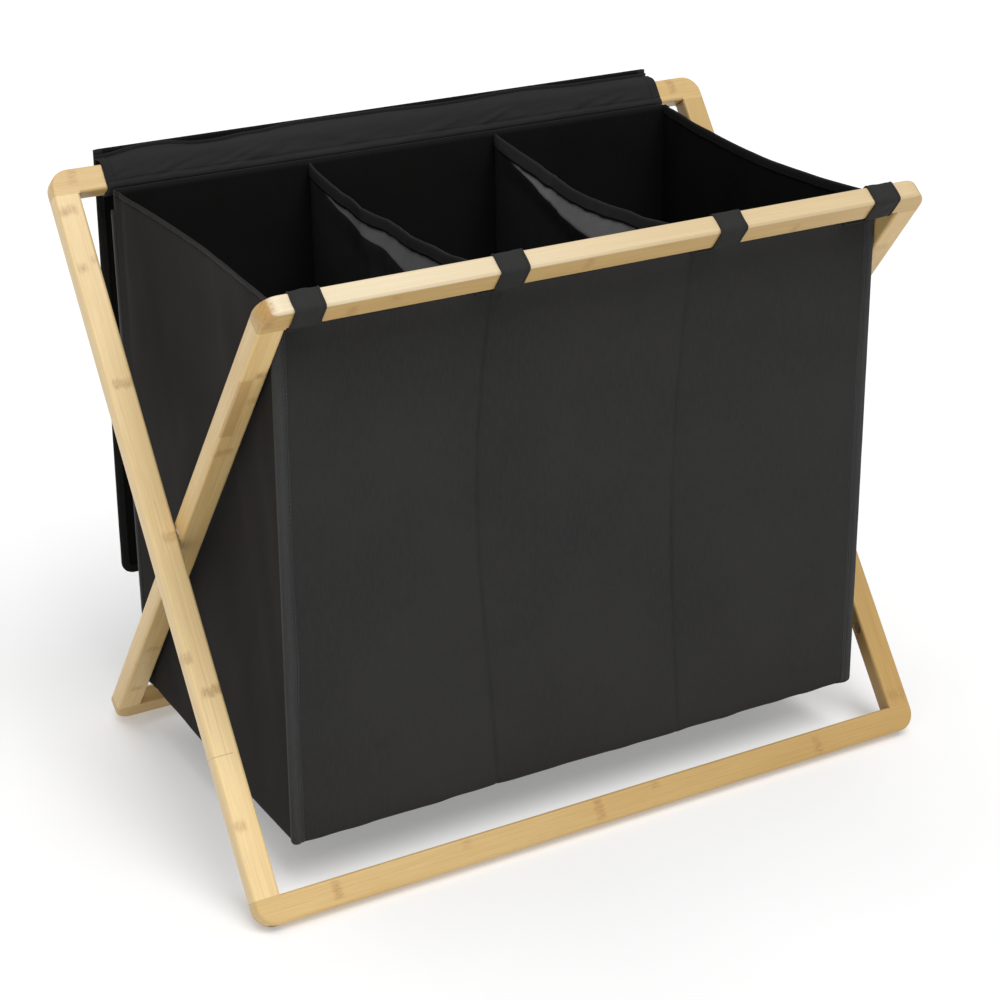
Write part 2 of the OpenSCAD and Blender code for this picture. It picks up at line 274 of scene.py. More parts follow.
def even_path(path, count, closed=True):
    """The same path with a set number of points, evenly spaced."""
    looped = np.vstack([path, path[:1]]) if closed else path
    reach = reach_along(looped)
    return at_reach(np.linspace(0, reach[-1], count, endpoint=not closed), reach, looped)


def outward_of(path):
    """Unit normals of a closed clockwise path in a plane, pointing out of it."""
    along = unit(np.roll(path, -1, 0) - np.roll(path, 1, 0))
    return np.stack([-along[:, 1], along[:, 0]], -1)


# ---- Materials ----

class Graph:
    """A material's nodes, built by short calls. A value is a number, a colour or another node's output."""

    def __init__(self, name):
        self.material = bpy.data.materials.new(name)
        self.material.use_nodes = True
        self.tree = self.material.node_tree
        self.shader = self.tree.nodes["Principled BSDF"]

    def put(self, socket, value):
        if isinstance(value, bpy.types.NodeSocket):
            self.tree.links.new(value, socket)
        else:
            socket.default_value = value

    def fill(self, node, **values):
        """Sets inputs by name, with _ for a space, and gives the node's first output."""
        for name, value in values.items():
            self.put(node.inputs[name.replace("_", " ")], value)
        return node.outputs[0]

    def node(self, kind, *values, **settings):
        made = self.tree.nodes.new(kind)
        for key, value in settings.items():
            setattr(made, key, value)
        for socket, value in zip(made.inputs, values):
            self.put(socket, value)
        return made

    def math(self, operation, *values):
        return self.node("ShaderNodeMath", *values, operation=operation).outputs[0]

    def times(self, *values):
        return self.math("MULTIPLY", *values)

    def step(self, value, low, high, to_low=0.0, to_high=1.0):
        """value eased from low to high, as to_low to to_high."""
        values = (value, low, high, to_low, to_high)
        return self.node("ShaderNodeMapRange", *values, interpolation_type="SMOOTHSTEP").outputs[0]

    def mix(self, share, first, second, blend="MIX"):
        """first to second by share. A mix node's colour inputs are its seventh and eighth."""
        made = self.node("ShaderNodeMix", share, data_type="RGBA", blend_type=blend)
        self.put(made.inputs[6], first)
        self.put(made.inputs[7], second)
        return made.outputs[2]

    def mapped(self, vector, location=(0, 0, 0), rotation=(0, 0, 0), scale=(1, 1, 1)):
        return self.node("ShaderNodeMapping", vector, location, rotation, scale).outputs[0]

    def place(self):
        return self.node("ShaderNodeTexCoord").outputs["Object"]

    def split(self, vector):
        return self.node("ShaderNodeSeparateXYZ", vector).outputs

    def noise(self, vector, scale, detail=2.0, rough=0.5):
        made = self.node("ShaderNodeTexNoise")
        return self.fill(made, Vector=vector, Scale=scale, Detail=detail, Roughness=rough)

    def bump(self, height, distance, strength):
        return self.fill(self.node("ShaderNodeBump"), Height=height, Distance=distance, Strength=strength)

    def finish(self, **values):
        self.fill(self.shader, **values)
        return self.material


def grey(level, warmth=0.0):
    return (level * (1 + warmth), level, level * (1 - warmth), 1)


# Places on the rails, in millimetres: x across the frame, v up its slope.
# A node band is (x, v, its width as a share of a strip's, strength), and runs across the fibres.
BANDS = {
    "outer_left": [(-350, 679, 1.3, 0.9), (-345, 507, 1.5, 0.8), (-342, 358, 1.2, 0.6),
                   (-357, 248, 0.5, 0.9), (-343, 214, 1.6, 1.0), (-352, 622, 0.7, 0.7),
                   (-339, 628, 0.5, 0.6), (-353, 92, 0.9, 0.6)],
    "outer_right": [(347, 36, 1.6, 1.0), (343, 245, 1.2, 0.7), (352, 300, 0.9, 0.6), (345, 470, 1.4, 0.8),
                    (351, 610, 1.0, 0.7)],
    "outer_top": [(325, 712, 1.4, 0.9), (-338, 711, 1.2, 0.6), (110, 706, 1.2, 0.7), (-140, 709, 1.0, 0.7)],
    "outer_bottom": [(-283, 14, 1.3, 0.8), (-10, 14, 1.5, 1.0), (54, 21, 0.6, 0.7), (240, 11, 1.4, 0.9),
                     (-150, 19, 0.7, 0.5)],
    "inner_left": [(-323, 513, 1.3, 0.8), (-315, 630, 0.7, 1.0), (-314, 592, 0.8, 0.6),
                   (-327, 300, 1.1, 0.7), (-318, 150, 1.2, 0.7), (-321, 66, 1.0, 0.7)],
    "inner_right": [(318, 640, 1.1, 0.7), (324, 430, 1.3, 0.8), (317, 210, 1.1, 0.7), (325, 90, 0.9, 0.6)],
    "inner_top": [(-251, 703, 1.2, 0.8), (-212, 711, 0.7, 0.6), (-28, 708, 1.1, 0.8), (190, 703, 1.0, 0.7),
                  (-326, 711, 1.6, 0.8)],
    "inner_bottom": [(-190, 12, 1.2, 0.8), (60, 15, 1.3, 0.8), (255, 10, 1.0, 0.7)],
}
# A glue line or an inlaid length of darker strip is (x from, x to, v from, v to, strength).
GLUE_LINES = {
    "outer_left": [(-360, -341, 155.6, 156.4, 0.7), (-347.6, -347.0, 156, 395, 0.35)],
    "outer_right": [(341, 360, 480.4, 481.2, 0.5)],
    "outer_top": [(-100.4, -99.6, 700, 720, 0.4)],
    "outer_bottom": [(150.2, 150.8, 0, 14, 0.5)],
    "inner_left": [(-333.5, -322, 121.7, 122.4, 0.6), (-333, -321, 540, 626, 0.62),
                   (-333, -308, 627.6, 628.3, 0.5), (-321.2, -320.4, 500, 628, 0.5)],
    "inner_right": [(308, 321, 330, 330.7, 0.5)],
    "inner_top": [(95.2, 95.8, 694, 708, 0.45)],
    "inner_bottom": [(-60.4, -59.8, 0, 13, 0.45)],
}
STRIP_W = 12.75
BAND_HALF = 4.2
PALE, STRAW, TAN = (0.82, 0.61, 0.29, 1), (0.72, 0.49, 0.195, 1), (0.56, 0.33, 0.115, 1)
# The first and last of these tints shift each rail's tone, partly painted light and shade; the middle one is
# a painted highlight.
CREAM_AND_LIT, PAINTED_HIGHLIGHT_TINT, TANNED_AND_SHADED = (0.90, 0.76, 0.50, 1), (0.80, 0.70, 0.50, 1), (0.62, 0.54, 0.38, 1)
BROWN, GLUE, DARK_FIBRE = (0.50, 0.275, 0.095, 1), (0.46, 0.27, 0.10, 1), (0.25, 0.115, 0.035, 1)
# How tan each rail's wood is, at its left or lower end and at its other end: partly the wood's own tone and
# partly painted light and shade, so the left rails are painted paler and the right and bottom rails darker.
TONES_AND_PAINTED_LIGHT = {
    "outer_left": (-0.15, -0.20), "outer_right": (1.0, 0.75), "outer_top": (0.40, 0.45),
    "outer_bottom": (0.45, 0.92), "inner_left": (0.10, 0.20), "inner_right": (0.5, 0.5),
    "inner_top": (0.80, 0.85), "inner_bottom": (0.5, 0.5),
}
# Where the top of the front rail is painted pale as a painted highlight, in millimetres up the slope.
HIGHLIGHT_TOP_V = 716.5


def bamboo(rail):
    """Laminated bamboo for one rail: long fibres along it, strips of their own tint, and node bands."""
    g = Graph("bamboo_" + rail)
    inner, crosswise = rail.startswith("inner"), rail.endswith(("top", "bottom"))
    # Back into the frame's own plane, in millimetres: x across, y from the foot up the slope, z out.
    turn = math.pi / 2 - LEAN
    shift = (0, 1000 * (HALF_L - PIVOT_Z * math.sin(turn)), -1000 * PIVOT_Z * math.cos(turn))
    flat = g.mapped(g.place(), scale=(1000, -1000 if inner else 1000, 1000))
    flat = g.mapped(flat, location=shift, rotation=(-turn, 0, 0))
    x, v, n = g.split(flat)
    along, across = (x, v) if crosswise else (v, x)
    wander = g.noise(flat, 0.004, 1.0)
    across_soft = g.math("ADD", across, g.times(g.math("SUBTRACT", wander, 0.5), 3.0))

    def stretched(long_scale, wide_scale):
        values = (g.times(along, long_scale), g.times(across_soft, wide_scale),
                  g.times(n, wide_scale))
        return g.node("ShaderNodeCombineXYZ", *values).outputs[0]

    strip = g.math("FLOOR", g.math("DIVIDE", across, STRIP_W))
    layer = g.math("FLOOR", g.math("DIVIDE", g.math("ADD", n, 2.5), 7.0))
    seed = g.node("ShaderNodeCombineXYZ", strip, layer, float(sum(map(ord, rail)) % 97)).outputs[0]
    tint = g.node("ShaderNodeTexWhiteNoise", seed).outputs["Value"]

    colour = g.mix(g.step(tint, 0.0, 1.0, 0.0, 0.55), PALE, STRAW)
    cloud = g.noise(stretched(0.010, 0.06), 1.0, 3.0)
    colour = g.mix(g.step(cloud, 0.35, 0.75, 0.0, 0.5), colour, STRAW)
    fibres = g.noise(stretched(0.012, 1.35), 1.0, 4.0, 0.65)
    colour = g.mix(g.step(fibres, 0.42, 0.72, 0.0, 0.48), colour, TAN)
    flecks = g.noise(stretched(0.06, 2.6), 1.0, 2.0, 0.6)
    colour = g.mix(g.step(flecks, 0.63, 0.80, 0.0, 0.4), colour, DARK_FIBRE)
    low_end, high_end = (-360.0, 360.0) if crosswise else (0.0, 720.0)
    # Partly the wood's own tone and partly painted light and shade, paler on the left rails and darker on
    # the right and bottom.
    tone_and_light = g.step(along, low_end, high_end, *TONES_AND_PAINTED_LIGHT[rail])
    tanned_and_shaded = g.mix(1.0, colour, TANNED_AND_SHADED, "MULTIPLY")
    colour = g.mix(g.math("MAXIMUM", tone_and_light, 0.0), colour, tanned_and_shaded)
    colour = g.mix(g.math("MAXIMUM", g.times(tone_and_light, -1.0), 0.0), colour, CREAM_AND_LIT)
    if rail == "inner_top":
        # Painted highlight: the front rail's top face is painted paler, most at its left end, in streaks.
        highlight_share = g.step(along, -300.0, 150.0, 0.86, 0.45)
        streaks = g.step(g.noise(stretched(0.006, 0.5), 1.0, 2.0), 0.35, 0.7, 0.85, 1.0)
        on_top = g.step(v, HIGHLIGHT_TOP_V, HIGHLIGHT_TOP_V + 1.5)
        colour = g.mix(g.times(g.times(highlight_share, streaks), on_top), colour, PAINTED_HIGHLIGHT_TINT)

    def within(value, low, high, soft):
        middle, half = (low + high) / 2, (high - low) / 2
        away = g.math("ABSOLUTE", g.math("SUBTRACT", value, middle))
        return g.step(away, half + soft, max(half - soft, 0.0), 0.0, 1.0)

    dashes = g.step(g.noise(stretched(0.15, 0.42), 1.0, 4.0, 0.8), 0.36, 0.74)
    waver = g.times(g.math("SUBTRACT", g.noise(stretched(0.03, 0.22), 1.0, 2.0), 0.5), 8.0)
    bent = g.math("ADD", along, waver)
    marks = 0.0
    for at_x, at_v, share, strength in BANDS[rail]:
        at_along, at_across = (at_x, at_v) if crosswise else (at_v, at_x)
        half = share * STRIP_W / 2
        core = g.times(within(bent, at_along - BAND_HALF, at_along + BAND_HALF, 3.0),
                      within(across, at_across - half, at_across + half, 2.4))
        marks = g.math("MAXIMUM", marks, g.times(core, strength))
    colour = g.mix(g.times(marks, 0.38), colour, BROWN)
    speckle = g.times(marks, g.times(dashes, 0.70))
    colour = g.mix(speckle, colour, DARK_FIBRE)
    lines = 0.0
    for x0, x1, v0, v1, strength in GLUE_LINES[rail]:
        box = g.times(within(x, x0, x1, 0.35), within(v, v0, v1, 0.35))
        lines = g.math("MAXIMUM", lines, g.times(box, strength))
    colour = g.mix(lines, colour, GLUE)

    rough = g.step(fibres, 0.3, 0.8, 0.36, 0.50)
    relief = g.math("SUBTRACT", g.times(fibres, 0.6), g.times(speckle, 0.4))
    return g.finish(Base_Color=colour, Roughness=rough, Normal=g.bump(relief, 0.00018, 0.5),
                    Coat_Weight=0.12, Coat_Roughness=0.3)


def zinc_steel():
    g = Graph("zinc_steel")
    place = g.place()
    cloud = g.noise(place, 140, 3.0)
    colour = g.mix(g.step(cloud, 0.3, 0.7), (0.50, 0.50, 0.51, 1), (0.66, 0.66, 0.67, 1))
    rough = g.step(g.noise(place, 600, 2.0), 0.3, 0.7, 0.26, 0.42)
    return g.finish(Base_Color=colour, Roughness=rough, Metallic=1.0,
                    Normal=g.bump(g.noise(place, 2200, 1.0), 0.00004, 0.4))


def woven(name, level, warmth=0.0, pitch=0.62, depth=0.05, rough=0.7, sheen=0.01, ribs=False):
    """Plain woven cloth, or ribbed tape. pitch is from thread to thread and depth their height, in
    millimetres. warmth tints the grey a little red."""
    g = Graph(name)
    place = g.place()
    x, y, z = g.split(place)
    turns = 2 * math.pi / (pitch * MM)
    warp = g.math("SINE", g.times(g.math("ADD", x, y), turns))
    weft = g.math("SINE", g.times(z, turns))
    threads = weft if ribs else g.times(warp, weft)
    cloud = g.noise(place, 9, 3.0)
    slub = g.noise(g.mapped(place, scale=(1, 1, 0.12)), 900, 2.0)
    colour = g.mix(g.step(cloud, 0.3, 0.7), grey(level * 0.9, warmth), grey(level * 1.08, warmth))
    colour = g.mix(g.step(slub, 0.35, 0.7, 0.0, 0.35), colour, grey(level * 1.35, warmth))
    rise = g.math("ADD", g.times(threads, 0.5), g.times(slub, 0.6))
    return g.finish(Base_Color=colour, Roughness=g.step(cloud, 0.3, 0.7, rough - 0.05, rough + 0.07),
                    Normal=g.bump(rise, depth * MM, 0.6), Sheen_Weight=sheen, Sheen_Roughness=0.45,
                    Specular_IOR_Level=0.05)


BLACK = woven("black_polyester", 0.028, warmth=0.02)
# Painted shade: a darker, warmer copy of the black cloth for the bag's side walls, which stand in shade.
SIDE_PAINTED_SHADE = woven("black_polyester_side_painted_shade", 0.015, warmth=0.07)
SLEEVE = woven("black_polyester_sleeve", 0.021)
# Painted shade: a much darker copy of the black cloth for the cloth's inner faces, for the shade inside the
# bag.
INSIDE_PAINTED_SHADE = woven("black_polyester_inside_painted_shade", 0.009, warmth=0.02, rough=0.6)
LINING = woven("grey_lining", 0.13, rough=0.5, sheen=0.12)
# Painted shade: a near-black copy of the grey lining for the dividers below their fold.
LINING_PAINTED_SHADE = woven("grey_lining_painted_shade", 0.026, rough=0.5)
TAPE = woven("black_tape", 0.019, pitch=0.9, depth=0.10, rough=0.55, ribs=True)
EDGE_TAPE = woven("grey_black_tape", 0.042, pitch=0.9, depth=0.10, rough=0.5, ribs=True)
THREAD = woven("black_thread", 0.024, pitch=0.3, depth=0.04, rough=0.5)
STEEL = zinc_steel()
BAMBOO = {rail: bamboo(rail) for rail in BANDS}

# ---- Rails and fittings, which stay as they are in the CAD ----

def dress(node, material):
    data = frame["nodes"][node].data
    data.materials.clear()
    data.materials.append(material)


for rail, wood in BAMBOO.items():
    dress(rail + "_rail", wood)
dress("outer_wood_dowels", BAMBOO["outer_bottom"])
dress("inner_wood_dowels", BAMBOO["inner_bottom"])
dress("pivot_plugs", BAMBOO["outer_left"])
for node in ("pivot_bolts", "pivot_nuts", "spacer_washers", "outer_joint_bolts", "outer_cross_dowels",
             "inner_joint_bolts", "inner_cross_dowels"):
    dress(node, STEEL)


def on_body(piece, body):
    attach(piece, body)


def in_bag(piece):
    """Puts a piece of the bag's cloth on the bag's body, with a mesh of its own."""
    on_body(piece, "bag")
    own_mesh(piece)


# ---- Bag ----

def height_share(z):
    return np.clip((z - BAG_Z) / BAG_H, 0, 1)


def left_seam(z):
    """Where the left divider is sewn to the front panel: the seam wanders as the cloth sags."""
    return -0.098 - 0.019 * arch(height_share(z) ** 1.3)


def right_seam(z):
    h = height_share(z)
    return 0.102 + 0.005 * h - 0.016 * arch(h ** 1.1)


SEAMS = (left_seam, right_seam)
SEAM_FEET = tuple(float(seam(BAG_Z)) for seam in SEAMS)


def rolled_in(z):
    """How far the bag's walls are drawn in where they roll round into the floor."""
    low = np.clip((BAG_Z + ROLL_R - z) / ROLL_R, 0, 1)
    return ROLL_R * (1 - np.sqrt(1 - low ** 2))


def followed(x, z):
    """x of columns of the front panel that keep their place between the wandering seams."""
    moves = (0, SEAMS[0](z) - SEAM_FEET[0], SEAMS[1](z) - SEAM_FEET[1], 0)
    return x + np.interp(x, (-BAG_X, *SEAM_FEET, BAG_X), moves)


def front_relief(x, z):
    """How far the front panel stands out: three soft pockets, two sewn grooves, faint ripples."""
    h = height_share(z)
    edges = (-BAG_X, SEAMS[0](z), SEAMS[1](z), BAG_X)
    full = arch(h) ** 0.6 * (0.75 + 0.5 * (1 - h))
    out = ripple(x / 0.11, z / 0.16, 11) * 0.7 * MM * fade((BAG_X - abs(x)) / 0.03)
    for low, high in zip(edges, edges[1:]):
        out = out + arch((x - low) / (high - low)) ** 0.8 * 3.2 * MM * full
    for k, seam in enumerate(SEAMS):
        away = x - seam(z)
        pucker = 1 + 0.35 * ripple(z / 0.009, 0, 30 + k) + 0.5 * ripple(z / 0.05, 0, 34 + k)
        out = out - bell(away, 1.5 * MM) * 1.3 * MM * pucker
        out = out - bell(away, 9 * MM) * 0.6 * MM * (1 + 0.6 * ripple(z / 0.03, 0, 38 + k))
        out = out + ripple(z / 0.012, away / 0.02, 42 + k) * bell(away, 10 * MM) * 0.35 * MM
    return out


def side_relief(side, f, z):
    """How far a side panel stands out. f runs from the front to the back."""
    h = height_share(z)
    middle = arch(f)
    bow = (-8.0 if side < 0 else -3.0) * MM
    out = bow * middle ** 1.2 * h ** 1.4
    out = out - 2.2 * MM * middle * arch(h)
    soft = fade(f / 0.1) * fade((1 - f) / 0.1) * fade((h + 0.02) / 0.12)
    # Long folds run down and in from the upper corners, where the cloth hangs from the frames.
    calm = (0.45 if side < 0 else 0.9) * (1 - 0.6 * fade((h - 0.85) / 0.15))
    for reach, seed in ((f, 3), (1 - f, 7)):
        fan = reach * 2.2 + (1 - h) * 0.9
        out = out + 1.7 * MM * calm * soft * ripple(fan * 5 + side, reach * 1.2, seed + 20 * (side > 0))
    out = out + 0.9 * MM * calm * soft * crumple(f * 6, h * 4, 60 + (side > 0))
    # The seam behind is pressed forwards, and lies as a soft wavering band along the back corner.
    band = (1 - f) * (BACK_TOP - FRONT_Y) - (11 + 1.6 * ripple(z / 0.06, side, 64)) * MM
    return out - 1.1 * MM * bell(band, 2.2 * MM) + 0.8 * MM * bell(band + 5 * MM, 4 * MM)


def side_y(f, z):
    """y of a side panel at a share of its depth, from the front to the back."""
    return FRONT_Y + CORNER_R + f * (back_y(z) - FRONT_Y - 2 * CORNER_R)


def rim_drop(side, f):
    """How far a side's top edge hangs below the bag's rim."""
    return (1.5 if side < 0 else 9.5) * MM * arch(f) ** 0.9


def back_relief(x, z):
    h = height_share(z)
    soft = fade((BAG_X - abs(x)) / 0.04) * fade((1 - h) / 0.12)
    out = 2.0 * MM * soft * arch(h) + 1.6 * MM * soft * crumple(x / 0.09, h * 3, 80)
    return out - (bell(x + DIVIDER_X, 3 * MM) + bell(x - DIVIDER_X, 3 * MM)) * 1.2 * MM


def front_rim_drop(x):
    """The front edge hangs from its loops and dips between them."""
    gaps = [(-0.28, -0.117), (-0.09, 0.104), (0.13, 0.272)]
    return sum(arch((x - low) / (high - low)) ** 1.2 * 2.5 * MM for low, high in gaps)


class Outline:
    """The bag's outline, column by column, anticlockwise from the front left corner."""

    def __init__(self):
        xs = spaced(CORNER_R - BAG_X, BAG_X - CORNER_R, 6.5 * MM, SEAM_FEET)
        fs = np.linspace(0, 1, 56)
        bend = np.radians([15, 30, 45])
        sides = (("front", 270, xs, (-1, -1), (1, -1)), ("right", 0, fs, (1, -1), (1, 1)),
                 ("back", 90, xs[::-1], (1, 1), (-1, 1)), ("left", 180, fs[::-1], (-1, 1), (-1, -1)))
        columns = []
        for name, facing, places, first, last in sides:
            facing = math.radians(facing)
            columns += [(name, places[0], facing - a, *first) for a in bend[::-1]]
            columns += [(name, p, facing, 0, 0) for p in places]
            columns += [(name, places[-1], facing + a, *last) for a in bend[:-1]]
        names, self.place, angle, self.sx, self.sy = map(np.array, zip(*columns))
        self.normal = np.stack([np.cos(angle), np.sin(angle)], -1)
        straight = self.sx == 0
        self.on = {name: (names == name) & straight for name in ("front", "right", "back", "left")}
        self.across, self.along = (int((names == name).sum()) for name in ("front", "right"))

    def ring(self, z, proud=0.0, shrink=0.0):
        """The outline at a height, as points. z is the height before the rim's sag.
        proud lifts the front panel, and shrink draws the whole outline in."""
        back, h = back_y(z), height_share(z)
        x = self.sx * (BAG_X - CORNER_R)
        y = np.where(self.sy < 0, FRONT_Y + CORNER_R, back - CORNER_R)
        out = np.full(len(x), CORNER_R)
        lower = np.zeros(len(x))
        on, place = self.on["front"], self.place
        x[on] = followed(place[on], z)
        y[on], out[on], lower[on] = FRONT_Y, front_relief(x[on], z), front_rim_drop(x[on])
        on = self.on["back"]
        x[on], y[on], out[on] = place[on], back, back_relief(place[on], z)
        for side, name in SIDES:
            on = self.on[name]
            x[on], y[on] = side * BAG_X, side_y(place[on], z)
            out[on], lower[on] = side_relief(side, place[on], z), rim_drop(side, place[on])
        out[self.on["front"]] += proud
        spot = np.stack([x, y], -1) + self.normal * out[:, None]
        centre, half = np.array([0, (FRONT_Y + back) / 2]), np.array([BAG_X, (back - FRONT_Y) / 2])
        spot = centre + (spot - centre) * (1 - shrink / half)
        return np.column_stack([spot, z - lower * h ** 3])


def hem_relief(z):
    """The step where the front panel's top hem is turned: a stitched ridge over a soft groove."""
    away = z - (RIM_Z - RIM_HEM)
    return bell(away - 1.2 * MM, 1.3 * MM) * 0.5 * MM - bell(away + 0.6 * MM, 1.1 * MM) * 0.6 * MM


def bag_shell():
    """One continuous shell of cloth: four walls, rolled round the bottom edge into the floor."""
    outline = Outline()
    wall_z = spaced(BAG_Z + ROLL_R, RIM_Z, 6.5 * MM, (RIM_Z - RIM_HEM,), 4 * MM, 1.1 * MM)
    rings = [outline.ring(z, proud=hem_relief(z)) for z in wall_z[::-1]]
    for bend in np.radians([10, 22, 34, 46, 58, 70, 80, 90]):
        z = BAG_Z + ROLL_R * (1 - math.sin(bend))
        rings.append(outline.ring(z, shrink=ROLL_R * (1 - math.cos(bend))))
    walls = np.array(rings)
    # The lower edge sags a little along the bag's sides, and wavers all round.
    for row in walls:
        near = fade((BAG_Z + 0.05 - row[:, 2]) / 0.05)
        f = np.clip((row[:, 1] - FRONT_Y) / (BACK_FOOT - FRONT_Y), 0, 1)
        row[:, 2] -= near * (3.2 * MM * arch(f) + 0.8 * MM * ripple(row[:, 0] / 0.02, f * 9, 90))
    count = walls.shape[1]
    faces = [tuple(reversed(f)) for f in grid_faces(len(walls), count, closed=True)]
    on_side = np.tile(abs(outline.normal[:, 0]) > 0.8, len(walls) - 1)

    # The floor is a grid: its edges are the walls' last ring, and between them it is filled in evenly.
    a, b = outline.across, outline.along
    across, along = np.arange(a + 1), np.arange(b + 1)
    grid = np.zeros((b + 1, a + 1), int)
    grid[0], grid[-1] = across, a + b + a - across
    grid[:, 0], grid[:, -1] = (count - along) % count, a + along
    spots = walls[-1][grid]
    u = ((spots[0, :, 0] - spots[0, 0, 0]) / (spots[0, -1, 0] - spots[0, 0, 0]))[None, :, None]
    w = ((spots[:, 0, 1] - spots[0, 0, 1]) / (spots[-1, 0, 1] - spots[0, 0, 1]))[:, None, None]
    corners = blend(w, blend(u, spots[0, 0], spots[0, -1]), blend(u, spots[-1, 0], spots[-1, -1]))
    filled = blend(w, spots[:1], spots[-1:]) + blend(u, spots[:, :1], spots[:, -1:]) - corners
    # Each compartment's floor sags a little.
    x, y = filled[..., 0], filled[..., 1]
    edge = fade(np.minimum(1 - abs(x) / BAG_X, np.minimum(y - FRONT_Y, BACK_FOOT - y) / BAG_X) / 0.15)
    pocket = arch((x + BAG_X) / (2 * BAG_X) * 3 % 1) ** 0.7
    filled[..., 2] -= edge * (3.0 * MM * pocket + 0.8 * MM * crumple(x / 0.07, y / 0.07, 95))
    inner = filled[1:-1, 1:-1].reshape(-1, 3)
    grid += (len(walls) - 1) * count
    grid[1:-1, 1:-1] = len(walls) * count + np.arange(len(inner)).reshape(b - 1, a - 1)
    for i, j in np.ndindex(b, a):
        quad = (grid[i, j], grid[i + 1, j], grid[i + 1, j + 1], grid[i, j + 1])
        faces.append(tuple(map(int, quad)))
    points = np.concatenate([walls.reshape(-1, 3), inner])
    shell = new_piece("bag_shell", points, faces, BLACK, INSIDE_PAINTED_SHADE, SIDE_PAINTED_SHADE, INSIDE_PAINTED_SHADE)
    # The side walls take the darker copy of the cloth, as painted shade.
    for face, side in zip(shell.data.polygons, on_side):
        face.material_index = 2 * int(side)
    # The inner layer takes the darker copy of the cloth, as painted shade.
    thicken(shell, CLOTH, offset=-1, inner=1)
    in_bag(shell)
    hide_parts("bag_front_panel", "bag_back_panel", "bag_left_panel", "bag_right_panel",
                "bag_bottom_panel")
    return shell


def divider_rim(s):
    return DIVIDER_RIM - 17 * MM * arch(s) ** 0.9


def divider_fold(s):
    """How far below its top edge a divider's slack folds over: further down towards the front."""
    return (6 + 45 * (1 - s)) * MM


def divider_point(side, s, depth):
    """Points in the middle of a divider: s from the front to the back, depth below its top edge."""
    z = divider_rim(s) - depth
    h = height_share(z)
    seam = SEAMS[side > 0](z)
    x = seam + (side * DIVIDER_X - seam) * fade(s)
    free = arch(s) ** 0.7 * (0.15 + 0.85 * h ** 1.6)
    seed = 120 if side < 0 else 160
    x = x + free * 8.0 * MM * ripple(s * 3.2 + 0.4 * (1 - h), h * 1.4, seed)
    x = x + free * 3.2 * MM * ripple(s * 9 + 1.5 * (1 - h), h * 2.2, seed + 1)
    x = x + free * 1.5 * MM * crumple(s * 14, h * 6, seed + 2)
    # A sharp fold runs down and forwards from the top edge and dies out.
    crease = s - (0.70 - 0.55 * (1 - h))
    x = x + side * 4.0 * MM * np.exp(-np.abs(crease) / 0.035) * fade((h - 0.55) / 0.25) * free
    # The slack folds over along a slanting line and turns back under it.
    fold = divider_fold(s)
    slack = np.minimum(depth / fold, np.clip(1 - (depth - fold) / (26 * MM), 0, 1))
    x = x - (10 if side > 0 else 4) * MM * slack * arch(s) ** 0.5
    front = FRONT_Y - front_relief(seam, z) + CLOTH - 0.15 * MM + rolled_in(z)
    back = back_y(z) + back_relief(side * DIVIDER_X, z) - CLOTH - rolled_in(z)
    y = front + s * (back - front)
    return np.stack(np.broadcast_arrays(x, y, z), -1)


def side_point(side, f, depth):
    """Points in the middle of a side panel, depth below its top edge."""
    z = RIM_Z - depth
    out = side_relief(side, f, z) - CLOTH / 2
    return np.stack(np.broadcast_arrays(
        side * (BAG_X + out), side_y(f, z), z - rim_drop(side, f) * height_share(z) ** 3), -1)


def folded_tape(name, sheet, count, widths, half, material):
    """A tape folded over the top edge of an upright sheet, sewn through near its lower edges.
    widths are how far it reaches down the sheet's left and right faces."""
    s = np.linspace(0.004, 0.996, count)
    along = unit(np.gradient(sheet(s, 0 * s), axis=0))
    normal = unit(np.stack([along[:, 1], -along[:, 0], 0 * s], -1))
    skin, lift = 0.55 * MM, 0.3 * MM
    # The section as (offset from the sheet's middle, share of the width down). A negative second
    # number is instead a rise in metres above the sheet's edge.
    outside = [(half, 1.0), (half, 0.75), (half, 0.45), (half, 0.12), (0.75 * half, -0.6 * half)]
    inside = [(half - skin, 1.0), (half - skin, 0.3)]
    section = [(-offset, drop) for offset, drop in outside] + [(0, -half)] + outside[::-1]
    section += inside + [(0, skin - half)] + [(-offset, drop) for offset, drop in inside[::-1]]
    puff = 1 + 0.10 * ripple(s * count / 5, 0, len(name))
    rings = []
    for offset, drop in section:
        width = widths[int(offset >= 0)]
        depth = width * max(drop, 0) * (1 + 0.05 * (drop == 1) * ripple(s * 40, offset, 7))
        bulge = 0.25 * MM * np.sign(offset) * (0.4 < drop < 0.6)
        spot = sheet(s, depth) + normal * (offset * puff + bulge)[:, None]
        rings.append(spot + [0, 0, max(-drop, 0) + lift])
    piece = turned_outward(tube(name, np.stack(rings, 1), material))
    rows = []
    for side, width in zip((-1, 1), widths):
        path = sheet(s, 0 * s + width * 0.78) + normal * side * (half + 0.05 * MM)
        rows.append((path + [0, 0, lift], normal * side))
    return [piece, stitches(name + "_stitches", rows)]


# The section of a corner binding in millimetres: inwards from the bag's edge, and out from its face.
# A rounded roll wraps the edge, and the tape's inner fold lies beside it.
BINDING = [(0.6, -5.0), (-1.9, -3.4), (-2.0, 0.6), (0.2, 2.7), (3.2, 2.7), (5.4, 1.9), (6.3, 0.5),
           (7.4, 1.2), (9.0, 1.35), (10.6, 0.2), (9.4, -0.6), (4.0, -0.8), (1.4, -1.6), (0.9, -4.6)]


